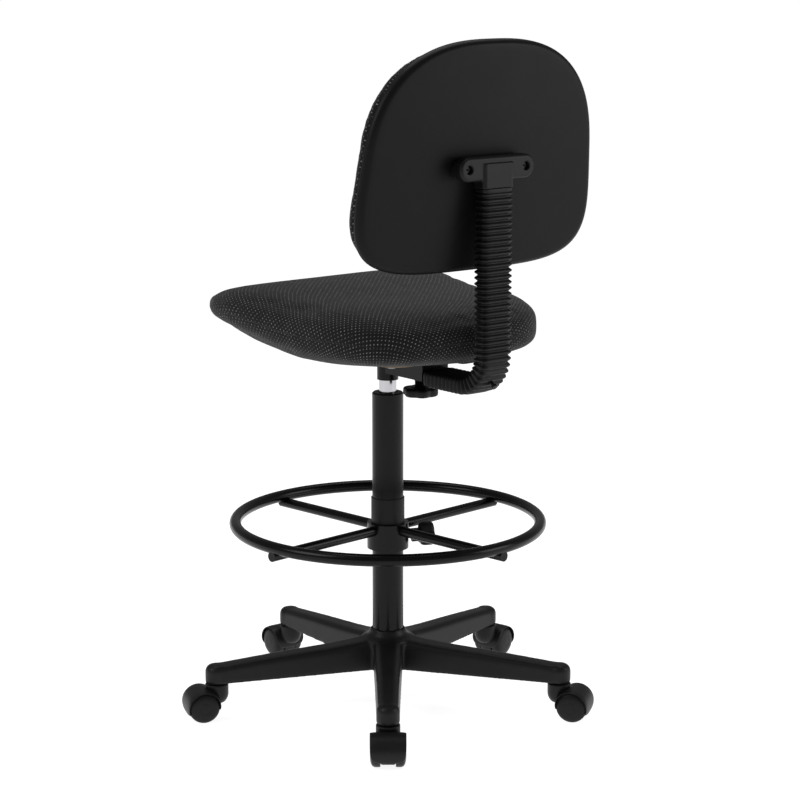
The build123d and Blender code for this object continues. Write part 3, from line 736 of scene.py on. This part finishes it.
@dataclass
class Seat(Upholstery):
    """Contoured seat: waterfall front, dished middle, thick low rear; cloth wraps underneath."""

    outline: SuperOutline = field(default_factory=lambda: SuperOutline(0.2142, 0.2290, 4.5, 3.6, 0.112))
    middle_y: float = -0.0113
    edge_power: float = 0.48
    top_stations: tuple[float, ...] = (0.0, 0.12, 0.28, 0.52, 0.78, 1.0)
    top_heights: tuple[float, ...] = (0.663, 0.676, 0.679, 0.668, 0.671, 0.657)
    low_front: float = 0.622
    low_rear: float = 0.5804
    dish: float = 0.002
    shrink: float = 0.003
    blur: tuple[float, ...] = (-0.09, -0.045, 0.045, 0.09)
    cover_height: float = 0.684
    rear_reach: float = 0.72

    def top(self, x: np.ndarray, y: np.ndarray) -> np.ndarray:
        """Height of the cover: a smooth curve front to rear, raised towards both sides."""
        t = (y - self.middle_y) / (2 * self.outline.half_y) + 0.5
        line = np.interp(t, self.top_stations, self.top_heights)
        near = [np.interp(t + d, self.top_stations, self.top_heights) for d in self.blur]
        side = self.dish * (x / self.outline.half_x) ** 2 * np.sin(np.pi * np.clip(t, 0, 1))
        return (line + sum(near)) / 5 + side

    def bottom(self, y: np.ndarray, share: np.ndarray) -> np.ndarray:
        """Height of the underside: level in the middle and at the rear, its rim rising to the front."""
        t = (y - self.middle_y) / (2 * self.outline.half_y) + 0.5
        rim = self.low_front + (self.low_rear - self.low_front) * smooth_step(t / self.rear_reach)
        return self.low_rear + (rim - self.low_rear) * smooth_step((share - 0.5) / 0.45)

    def build(self) -> bpy.types.Object:
        """Closed pad: an angle runs from the underside's centre over the rim to the top's centre.

        The share of the way out is a power of the angle's cosine and the height a power of its sine.
        """
        turn = ring_angles(180)[None, :]
        lift = np.linspace(-np.pi / 2, np.pi / 2, 72)[1:-1, None]
        share = np.cos(lift) ** self.edge_power
        rise = signed_power(np.sin(lift), self.edge_power)
        x, y = self.outline.loop(turn, share)
        x, y = x * (1 - self.shrink / 0.21), y * (1 - self.shrink / 0.22) + self.middle_y
        top, low = self.top(x, y) - self.shrink, self.bottom(y, share)
        rim_low = self.bottom(y, np.ones_like(share))
        mid = (top + rim_low) / 2 + 0.06 * (top - rim_low)
        z = np.where(rise > 0, mid + (top - mid) * rise, mid + (mid - low) * rise)
        piece = wrapped_surface(self.name, np.stack([x, y, z], -1), Closing.POLES)
        self.swell(piece, np.array([[0, 0, self.low_rear + 0.004], [0, 0, 1.0]]))
        points = read_points(piece)
        local = points[:, :2] - [0, self.middle_y]
        out = self.outline.outward(local[:, 0], local[:, 1])
        rim = np.clip(self.outline.rim_share(local[:, 0], local[:, 1]), 0.3, 1.0)
        drop = np.clip(self.cover_height - points[:, 2], 0, None) * smooth_step((rim - 0.55) / 0.35)
        top = self.top(local[:, 0], points[:, 1])
        middle = (top + self.bottom(points[:, 1], np.ones_like(rim))) / 2
        turned_in = np.hypot(local[:, 0], local[:, 1]) * (1 / rim - 1) * 2 * (points[:, 2] < middle)
        self.lay_cloth(piece, local + out * (drop + turned_in)[:, None])
        return self.finish_piece(piece, "seat_frame", 0.85, "seat_cushion")


@dataclass
class BackFrame:
    """Where the backrest's parts lie: a leaning frame with x sideways, y up the back, z rearwards."""

    rear: float = 0.234
    middle: float = 0.9005
    lean: float = radians(6.6)
    curve: float = 3.2
    outline: SuperOutline = field(default_factory=lambda: SuperOutline(0.2225, 0.173, 4.3, 2.65, 0.085))

    def place(self, x: np.ndarray, up: np.ndarray, behind: np.ndarray) -> Grid:
        """Points of the backrest in the row frame.

        Args:
            x: sideways place.
            up: place along the back, from its middle.
            behind: distance rearwards of the shell's rear face; the whole back bends round the sitter.

        Returns:
            The stacked (…, 3) points.
        """
        depth = behind - x ** 2 / (2 * self.curve)
        y = self.rear + depth * cos(self.lean) + up * sin(self.lean)
        z = self.middle - depth * sin(self.lean) + up * cos(self.lean)
        return np.stack(np.broadcast_arrays(x, y, z), -1)

    def local(self, points: np.ndarray) -> tuple[np.ndarray, np.ndarray, np.ndarray]:
        """Sideways, upward and rearward places of points in the row frame."""
        y, z = points[:, 1] - self.rear, points[:, 2] - self.middle
        up = y * sin(self.lean) + z * cos(self.lean)
        depth = y * cos(self.lean) - z * sin(self.lean)
        return points[:, 0], up, depth + points[:, 0] ** 2 / (2 * self.curve)


@dataclass
class BackPad(Upholstery):
    """Padded front of the backrest, crowned towards the sitter."""

    frame: BackFrame = field(default_factory=BackFrame)
    rear_gap: float = 0.0128
    thickness: float = 0.034
    edge_power: float = 0.5
    inset: float = 0.0065
    rear_share: float = 0.36
    crown: float = 0.006

    def build(self) -> bpy.types.Object:
        """Closed pad between the shell's rim and the sitter, with a rounded rim."""
        turn = ring_angles(168)[None, :]
        lift = np.linspace(-np.pi / 2, np.pi / 2, 56)[1:-1, None]
        share = np.cos(lift) ** self.edge_power
        rise = signed_power(np.sin(lift), self.edge_power)
        x, up = self.frame.outline.loop(turn, share)
        x, up = x * (1 - self.inset / 0.22), up * (1 - self.inset / 0.17)
        front = self.thickness + self.crown * (1 - share ** 2)
        rear = self.thickness * self.rear_share
        reach = np.where(rise > 0, front * (1 - self.rear_share) * rise, rear * rise)
        behind = -self.rear_gap - rear - reach
        piece = wrapped_surface(self.name, self.frame.place(x, up, behind), Closing.POLES)
        normal = np.array([0, -cos(self.frame.lean), sin(self.frame.lean)])
        held = self.frame.place(np.zeros(1), np.zeros(1), np.array([-self.rear_gap - 0.006]))[0]
        self.swell(piece, np.array([held, normal]))
        x, up, depth = self.frame.local(read_points(piece))
        out = self.frame.outline.outward(x, up)
        share = smooth_step((self.frame.outline.rim_share(x, up) - 0.55) / 0.35)
        drop = np.clip(depth + self.rear_gap + self.thickness + 0.004, 0, None) * share
        self.lay_cloth(piece, np.stack([x, up], -1) + out * drop[:, None])
        return self.finish_piece(piece, "backrest", 0.8, "back_cushion")


@dataclass
class BackShell:
    """Moulded outer shell of the backrest with a rolled rim."""

    frame: BackFrame = field(default_factory=BackFrame)
    roll: float = 0.011
    rim: float = 0.0128
    wall: float = 0.003

    def build(self) -> bpy.types.Object:
        """One closed skin: rear face, rolled edge, rim, and the inner face back to the centre.

        Rows step outwards over the rear face, round a quarter ellipse at the rim, and back inside.
        """
        turn = ring_angles(220)[None, :]
        reach = self.frame.outline.half_x
        inner, lip = 1 - self.roll / reach, 1 - self.wall / reach
        bend = np.linspace(0, np.pi / 2, 9)[1:]
        flat = np.linspace(0.02, inner, 26)
        rolled = -(self.rim * 0.75) * (1 - np.cos(bend))
        outer_share = np.concatenate([flat, inner + (1 - inner) * np.sin(bend), [1.0, lip]])
        outer_depth = np.concatenate([0 * flat, rolled, [-self.rim, -self.rim]])
        back_share = np.concatenate([[lip], inner * np.linspace(1, 0.02, 24)])
        back_depth = np.concatenate([[-self.wall * 2.4], np.full(24, -self.wall)])
        share = np.concatenate([outer_share, back_share])[:, None]
        depth = np.concatenate([outer_depth, back_depth])[:, None]
        x, up = self.frame.outline.loop(turn, share)
        piece = wrapped_surface("back_shell_skin", self.frame.place(x, up, depth), Closing.POLES)
        SHELL.wear(piece)
        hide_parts("back_shell")
        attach(piece, "backrest")
        return piece


@dataclass
class Bellows:
    """Ribbed rubber sleeve round the bent bar."""

    half_x: float = 0.0300
    half_depth: float = 0.0140
    rib: float = 0.0044
    pitch: float = 0.0088
    front: float = 0.122
    level: float = 0.553
    upright: float = 0.248
    bend: float = 0.050
    top: float = 0.8557
    wall: float = 0.0015

    def line(self, s: np.ndarray) -> tuple[np.ndarray, np.ndarray, np.ndarray]:
        """Middle line at distance s: level run, quarter circle, upright run.

        Returns:
            y and z of the line, and the angle its direction has turned through.
        """
        run = self.upright - self.bend - self.front
        angle = np.clip((s - run) / self.bend, 0, np.pi / 2)
        y = self.front + np.minimum(s, run) + self.bend * np.sin(angle)
        climb = np.clip(s - run - self.bend * np.pi / 2, 0, None)
        z = self.level + self.bend * (1 - np.cos(angle)) + climb
        return y, z, angle

    def build(self) -> bpy.types.Object:
        """Rounded rectangle carried along the line; its size swells and shrinks once per rib.

        The size is cut by the rib depth times a power of the sine of the distance over the pitch, so
        ridges are narrow and valleys round. The inner skin follows, so the ends show a wall.
        """
        level_run = self.upright - self.bend - self.front
        length = level_run + self.bend * np.pi / 2 + self.top - self.level - self.bend
        ribs = round(length / self.pitch)
        s = np.linspace(0, length, ribs * 8 + 1)
        cut = self.rib * (1 - np.abs(np.cos(np.pi * s / length * ribs)) ** 1.6)
        cut = np.where((s < 0.0035) | (s > length - 0.005), 0.0012, cut)
        s_all = np.concatenate([s, s[::-1]])
        cut_all = np.concatenate([cut, cut[::-1] + self.wall])
        y, z, angle = self.line(s_all)
        turn = ring_angles(56)
        power = 2 / 5.0
        across = signed_power(np.cos(turn), power)
        out = signed_power(np.sin(turn), power)
        wide = (self.half_x - cut_all)[:, None] * across
        deep = (self.half_depth - cut_all * 0.8)[:, None] * out
        y, z, angle = y[:, None], z[:, None], angle[:, None]
        grid = np.stack([wide, y + np.sin(angle) * deep, z - np.cos(angle) * deep], -1)
        piece = wrapped_surface("bellows_sleeve", grid, Closing.LOOP)
        RUBBER.wear(piece)
        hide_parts("bellows")
        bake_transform(piece)
        return piece


@dataclass
class Knob:
    """Lobed hand knob: a round core whose radius swells once per lobe."""

    name: str
    node: str
    body: str
    lobes: int
    radius: float
    depth: float
    height: float
    origin: tuple[float, float, float]
    direction: tuple[float, float, float]
    neck: float
    neck_length: float
    phase: float = 0.0

    def build(self) -> bpy.types.Object:
        """Rings along the knob's axis: domed face, lobed rim with soft edges, underside and neck."""
        turn = ring_angles(144)[None, :]
        wave = (0.5 + 0.5 * np.cos(self.lobes * (turn - self.phase))) ** 0.7
        full = self.radius - self.depth * (1 - wave)
        h = self.height
        rows = [(0.05, 1.0), (0.45, 1.0), (0.70, 0.985), (0.86, 0.94), (0.95, 0.86), (0.99, 0.76),
                (1.0, 0.62), (1.0, 0.36), (0.99, 0.22), (0.94, 0.1), (0.86, 0.04), (0.7, 0.0)]
        rings = [(share * full, level * h) for share, level in rows]
        low = -self.neck_length
        rings += [(self.neck, 0.0), (self.neck, low), (self.neck * 0.2, low)]
        grid = [np.stack([radius * np.cos(turn), radius * np.sin(turn), level + 0 * turn], -1)[0]
                for radius, level in rings]
        piece = wrapped_surface(self.name, np.array(grid), Closing.POLES)
        side = np.array([0.0, 0.0, 1.0]) if abs(self.direction[2]) < 0.5 else np.array([1.0, 0.0, 0.0])
        place(piece, axes(side, np.array(self.direction), self.origin))
        HARD_PLASTIC.wear(piece)
        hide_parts(self.node)
        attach(piece, self.body)
        return piece


@dataclass
class Caster:
    """Twin-wheel caster with a fender hood, trailing outwards."""

    number: int
    angle: float
    stem_circle: float = 0.286
    trail: float = 0.025
    wheel_r: float = 0.025
    inner: float = 0.0115
    outer: float = 0.0275
    hood_r: float = 0.0274
    hood_bore: float = 0.0258
    neck_r: float = 0.0185
    neck_top: float = 0.0575
    squareness: float = 0.35
    web_r: float = 0.0262
    web_half: float = 0.0104
    web_floor: float = 0.0095

    def frame(self) -> np.ndarray:
        """(3, 4) matrix: x outwards along the arm, z up, origin on the floor under the stem."""
        way = np.array([cos(self.angle), sin(self.angle), 0.0])
        return axes(way, np.array([0, 0, 1.0]), tuple(way * self.stem_circle))

    def fender(self) -> bpy.types.Object:
        """Thin arched cover: a rounded strip carried round the axle from the tail over to the neck."""
        arc = np.linspace(radians(-28), radians(196), 60)
        turn = ring_angles(40)
        half_w, half_t = self.outer, (self.hood_r - self.hood_bore) / 2
        w = half_w * signed_power(np.cos(turn), self.squareness)
        t = half_t * signed_power(np.sin(turn), self.squareness)
        mid = (self.hood_r + self.hood_bore) / 2
        crown = 0.0012 * (w / half_w) ** 4
        radius = mid + t - crown
        along = np.abs(arc - radians(84)) / radians(112)
        taper = np.minimum(1.0, 0.55 + 0.45 * np.sqrt(np.clip(1 - along ** 6, 0, 1)))
        arc, taper = arc[:, None], taper[:, None]
        grid = np.stack([self.trail + radius * np.cos(arc), w * taper,
                         self.wheel_r + radius * np.sin(arc)], -1)
        return wrapped_surface("fender", grid, Closing.POLES)

    def web(self) -> bpy.types.Object:
        """Thick middle disc between the wheels, cut flat near the floor."""
        turn = ring_angles(72)[None, :]
        side = [(0.3, -1.0), (0.92, -1.0), (0.985, -0.92), (1.0, -0.75)]
        rows = side + [(share, -level) for share, level in reversed(side)]
        share, level = (np.array(v)[:, None] for v in zip(*rows))
        radius = self.web_r * share
        z = np.maximum(self.wheel_r + radius * np.sin(turn), self.web_floor)
        x = self.trail + radius * np.cos(turn)
        grid = np.stack(np.broadcast_arrays(x, self.web_half * level + 0 * turn, z), -1)
        return wrapped_surface("web", grid, Closing.POLES)

    def neck(self) -> bpy.types.Object:
        """Round neck under the arm that runs down into the web."""
        r, top = self.neck_r, self.neck_top
        corners = [(0.0005, top), (r, top), (r, 0.036), (r - 0.006, 0.027), (0.0005, 0.024)]
        return turned_surface("neck", rounded_profile(corners, [0, 0.002, 0.006, 0.004, 0]), 56)

    def hood(self) -> bpy.types.Object:
        """Join the hood's surfaces into one moulded piece."""
        parts = [self.fender(), self.web(), self.neck()]
        neck = parts[2].data
        for vertex in neck.vertices:
            if vertex.co.z < 0.05 and vertex.co.x > 0:
                vertex.co.x *= 0.6
        work = bmesh.new()
        for part in parts:
            work.from_mesh(part.data)
            discard(part)
        mesh = bpy.data.meshes.new(f"caster_{self.number}_fork")
        work.to_mesh(mesh)
        work.free()
        mesh.shade_smooth()
        piece = bpy.data.objects.new(mesh.name, mesh)
        bpy.context.scene.collection.objects.link(piece)
        place(piece, self.frame())
        return piece

    def wheel(self, side: Side) -> bpy.types.Object:
        """Turned wheel: soft tread, domed outer face with a shallow ring, hollow inner face."""
        r, wide = self.wheel_r, self.outer - self.inner
        corners = [(0.0045, 0.0), (0.0105, 0.0), (0.0105, 0.0022), (0.0205, 0.0022), (0.0205, 0.0),
                   (r - 0.0008, 0.0), (r, 0.0012), (r, wide * 0.62), (r - 0.0035, wide * 0.86),
                   (r - 0.0095, wide * 0.955), (0.0098, wide * 0.985), (0.0092, wide * 0.965), (0.0086, wide * 0.985), (0.0005, wide)]
        radii = [0, *[0.0004] * 4, *[0.0005] * 2, *[0.003] * 3, 0.0003, 0.0002, 0.0003, 0]
        name = f"caster_{self.number}_roller_{side.value}"
        piece = turned_surface(name, rounded_profile(corners, radii), 72)
        sign = 1.0 if side is Side.LEFT else -1.0
        local = axes(np.array([0, 0, 1.0]), np.array([0, sign, 0]),
                     (self.trail, sign * self.inner, self.wheel_r))
        place(piece, local)
        place(piece, self.frame())
        return piece

    def build(self) -> None:
        """Make the hood and both wheels and tie them to their bodies."""
        name = f"caster_{self.number}"
        hood = self.hood()
        NYLON.wear(hood)
        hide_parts(f"{name}_hood")
        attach(hood, name)
        for side in Side:
            wheel = self.wheel(side)
            WHEEL.wear(wheel)
            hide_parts(f"{name}_wheel_{side.value}")
            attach(wheel, f"{name}_wheel_{side.value}")
        LOG.info("%s: hood and two wheels", name)


@dataclass
class Base:
    """Five-arm moulded base."""

    first_arm: float = radians(50.7)
    arms: int = 5
    voxel: float = 0.0023

    def build(self, nodes: dict[str, bpy.types.Object]) -> None:
        """Soften the star's corners and flare its hub, then add the casters."""
        flare = self.flare()
        star = moulded_copy("base_casting", [nodes["base_star"], flare], self.voxel, 7)
        discard(flare)
        NYLON.wear(star)
        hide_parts("base_star")
        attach(star, "base")
        LOG.info("base_casting: %d faces", len(star.data.polygons))
        for i in range(self.arms):
            Caster(i + 1, self.first_arm + i * tau / self.arms).build()

    def flare(self) -> bpy.types.Object:
        """Ring that rounds the inside corner between the hub and the arms."""
        t = np.linspace(0, 1, 9)
        curve = [(0.0292 + 0.014 * (1 - np.cos(a)), 0.121 - 0.012 * np.sin(a)) for a in t * np.pi / 2]
        profile = [(0.0256, 0.121), *curve, (0.034, 0.064), (0.0256, 0.064), (0.0256, 0.121)]
        return turned_surface("flare", profile, 72)


@dataclass
class FootRing:
    """Steel hoop."""

    radius: float = 0.2443
    tube: float = 0.0095
    height: float = 0.3006

    def build(self) -> bpy.types.Object:
        """Torus: a small circle carried round a large one."""
        turn = ring_angles(240)[:, None]
        small = ring_angles(36)[None, :]
        reach = self.radius + self.tube * np.cos(small)
        z = self.height + self.tube * np.sin(small) + 0 * turn
        grid = np.stack([reach * np.cos(turn), reach * np.sin(turn), z], -1)
        piece = wrapped_surface("ring_tube", grid, Closing.LOOP)
        PAINT.wear(piece)
        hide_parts("ring_hoop")
        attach(piece, "foot_ring")
        return piece


# ---- Studio -------------------------------------------------------------------
@dataclass
class Studio:
    """White floor, soft lights and the camera."""

    azimuth: float = radians(50.7)
    distance: float = 3.595
    height: float = 1.214
    lens: float = 103.79
    aim_height: float = 0.4978
    aim_right: float = 0.0195

    def build(self) -> None:
        """Make the stage, the world, the lights and the camera."""
        self.floor()
        self.world()
        towards = np.array([cos(self.azimuth), sin(self.azimuth), 0.0])
        right = np.array([-towards[1], towards[0], 0.0])
        self.camera(towards, right)
        self.light("key", towards * 1.2 - right * 2.4 + [0, 0, 2.4], 1.6, 32.0)
        self.light("side", towards * 0.4 + right * 2.6 + [0, 0, 1.2], 1.2, 16.0)
        self.light("top", -towards * 0.6 + [0, 0, 3.0], 2.0, 26.0)

    def floor(self) -> None:
        """Wide pale floor plane."""
        size = 90.0
        corners = np.array([[-size, -size, 0], [size, -size, 0], [size, size, 0], [-size, size, 0]])
        plane = mesh_object("studio_floor", corners, [(0, 1, 2, 3)])
        material = bpy.data.materials.new("studio_white")
        material.use_nodes = True
        surface = material.node_tree.nodes["Principled BSDF"]
        surface.inputs["Base Color"].default_value = (0.5, 0.5, 0.5, 1.0)
        surface.inputs["Roughness"].default_value = 0.95
        surface.inputs["Specular IOR Level"].default_value = 0.0
        surface.inputs["Emission Color"].default_value = (1.0, 1.0, 1.0, 1.0)
        surface.inputs["Emission Strength"].default_value = 0.9
        plane.data.materials.append(material)

    def world(self) -> None:
        """Even white surroundings."""
        world = bpy.data.worlds.new("studio")
        world.use_nodes = True
        back = world.node_tree.nodes["Background"]
        back.inputs["Color"].default_value = (1.0, 1.0, 1.0, 1.0)
        back.inputs["Strength"].default_value = 0.22
        bpy.context.scene.world = world
        bpy.context.scene.view_settings.view_transform = "Standard"

    def light(self, name: str, spot: np.ndarray, size: float, power: float) -> None:
        """Square soft light aimed at the seat post."""
        data = bpy.data.lights.new(name, "AREA")
        data.size = size
        data.energy = power
        lamp = bpy.data.objects.new(name, data)
        lamp.location = Vector(spot)
        lamp.rotation_euler = (Vector((0, 0, 0.5)) - lamp.location).to_track_quat("-Z", "Y").to_euler()
        bpy.context.scene.collection.objects.link(lamp)

    def camera(self, towards: np.ndarray, right: np.ndarray) -> None:
        """Long lens from behind the sitter's left shoulder, looking slightly down."""
        data = bpy.data.cameras.new("camera")
        data.lens = self.lens
        data.sensor_width = 36.0
        camera = bpy.data.objects.new("camera", data)
        camera.location = Vector(towards * self.distance + [0, 0, self.height])
        target = Vector(right * self.aim_right + [0, 0, self.aim_height])
        camera.rotation_euler = (target - camera.location).to_track_quat("-Z", "Y").to_euler()
        bpy.context.scene.collection.objects.link(camera)
        bpy.context.scene.camera = camera


# ---- Assembly -----------------------------------------------------------------
SLOT_FINISHES: dict[str, Finish] = {
    "black_nylon": NYLON, "wheel_nylon": WHEEL, "plain_steel": STEEL, "black_paint": PAINT,
    "chrome_tube": CHROME,
    "black_plastic": HARD_PLASTIC, "shell_plastic": SHELL, "bellows_rubber": RUBBER, "seat_fabric": CLOTH,
    "lining_fabric": LINING, "plywood": PLYWOOD}


def dress_frame(nodes: dict[str, bpy.types.Object], record: dict) -> None:
    """Give every carried-over node the finish of its material slot."""
    for row in record["subparts"]:
        finish = SLOT_FINISHES[row["material_slot"]]
        if row["node"] == "bracket_screws":
            finish = BLACKENED
        node = nodes[row["node"]]
        if not node.material_slots:
            node.data.materials.append(None)
        for held in node.material_slots:
            held.material = finish.material()


def build_bracket(nodes: dict[str, bpy.types.Object]) -> None:
    """Back bracket with moulded corners."""
    piece = moulded_copy("back_bracket_casting", [nodes["back_bracket"]], 0.0009, 4)
    HARD_PLASTIC.wear(piece)
    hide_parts("back_bracket")
    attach(piece, "backrest")


def main() -> None:
    """Build the chair round its frame."""
    logging.basicConfig(level=logging.INFO, format="%(name)s %(message)s")
    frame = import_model()
    nodes = frame["nodes"]
    for make_group in (mould_grain_group, rub_group, dot_lattice_group):
        make_group()
    Studio().build()
    dress_frame(nodes, frame["record"])
    Base().build(nodes)
    FootRing().build()
    build_bracket(nodes)
    BackShell().build()
    BackPad("back_pad", CLOTH).build()
    Bellows().build()
    Seat("seat_pad", CLOTH).build()
    ring_angle = radians(155.7)
    way = (cos(ring_angle), sin(ring_angle), 0.0)
    Knob("ring_hand_knob", "ring_knob", "ring_clamp", 3, 0.021, 0.006, 0.024,
         (0.052 * way[0], 0.052 * way[1], 0.274), way, 0.011, 0.012).build()
    Knob("depth_hand_knob", "depth_knob", "depth_clamp", 6, 0.0285, 0.004, 0.015,
         (0.0, 0.081, 0.5315), (0.0, 0.0, -1.0), 0.009, 0.010).build()


if __name__ == "__main__":
    main()
